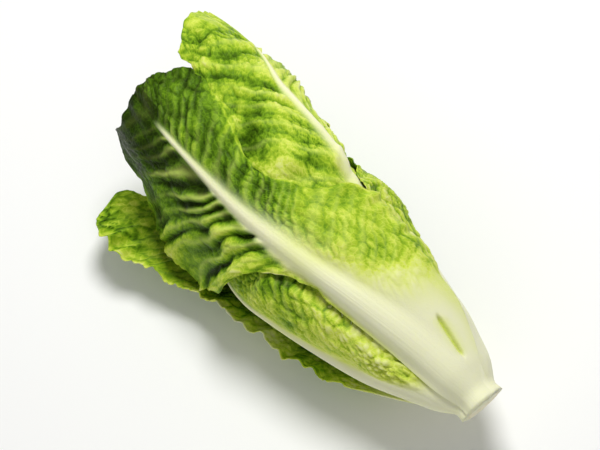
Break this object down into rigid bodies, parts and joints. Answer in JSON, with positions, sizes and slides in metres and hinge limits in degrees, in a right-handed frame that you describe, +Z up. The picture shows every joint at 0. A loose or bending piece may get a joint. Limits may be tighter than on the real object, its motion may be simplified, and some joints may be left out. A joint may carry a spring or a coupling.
{
  "type": "romaine lettuce head",
  "caption": "Cut head of romaine lettuce lying on its side: long ribbed leaves in layers round a short stem and a closed heart.",
  "frame": {"origin": "on the surface it lies on, below the middle of the head's box", "axes": "+Y along the head's axis, from the cut stem to the leaf tips; +Z up"},
  "size_m": [0.1202, 0.24, 0.0872],
  "materials": {
    "outer_leaf": "satin",
    "inner_leaf": "satin",
    "heart": "satin",
    "stem": "matte"
  },
  "bodies": {
    "root": {"leaf_01": "outer_leaf", "leaf_02": "outer_leaf", "leaf_03": "outer_leaf", "leaf_04": "outer_leaf", "leaf_05": "outer_leaf", "leaf_06": "inner_leaf", "leaf_07": "inner_leaf", "leaf_08": "inner_leaf", "leaf_09": "inner_leaf", "leaf_10": "inner_leaf", "leaf_11": "inner_leaf", "leaf_12": "inner_leaf", "leaf_13": "inner_leaf", "leaf_14": "inner_leaf", "leaf_15": "inner_leaf", "heart": "heart", "stem": "stem"}
  },
  "joints": []
}
